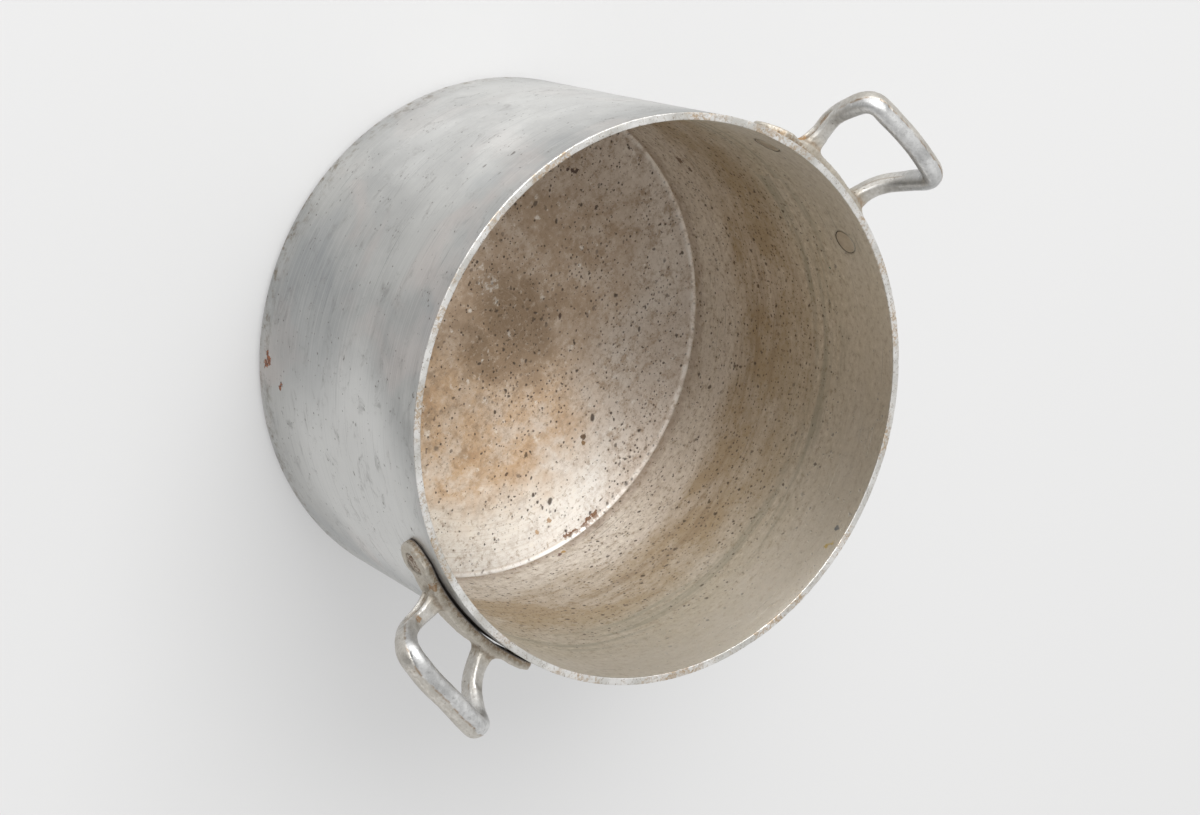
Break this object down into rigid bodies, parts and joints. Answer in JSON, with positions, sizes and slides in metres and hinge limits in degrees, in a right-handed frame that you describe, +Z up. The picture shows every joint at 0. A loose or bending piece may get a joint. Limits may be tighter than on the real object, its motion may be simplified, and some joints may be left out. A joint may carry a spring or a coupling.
{
  "type": "stock pot",
  "caption": "Slightly tapered aluminium stock pot with an open top, flat base and two riveted cast loop handles that rise above the rim.",
  "frame": {"origin": "centre of the flat underside, on the surface the pot stands on", "axes": "+Z up through the open mouth; the two handles lie on the X axis; +Y completes a right-handed frame"},
  "size_m": [0.4186, 0.32, 0.2129],
  "materials": {
    "drawn_aluminium": "aged and finely brushed outside, stained grey-brown and pitted inside",
    "cast_aluminium": "sand-cast and polished by handling, dull and pitted in the corners",
    "rivet_aluminium": "hammered flush and dull"
  },
  "bodies": {
    "root": {"pot_shell": "drawn_aluminium", "handle_right": "cast_aluminium", "handle_left": "cast_aluminium", "rivet_right_front": "rivet_aluminium", "rivet_right_back": "rivet_aluminium", "rivet_left_front": "rivet_aluminium", "rivet_left_back": "rivet_aluminium"}
  },
  "joints": []
}
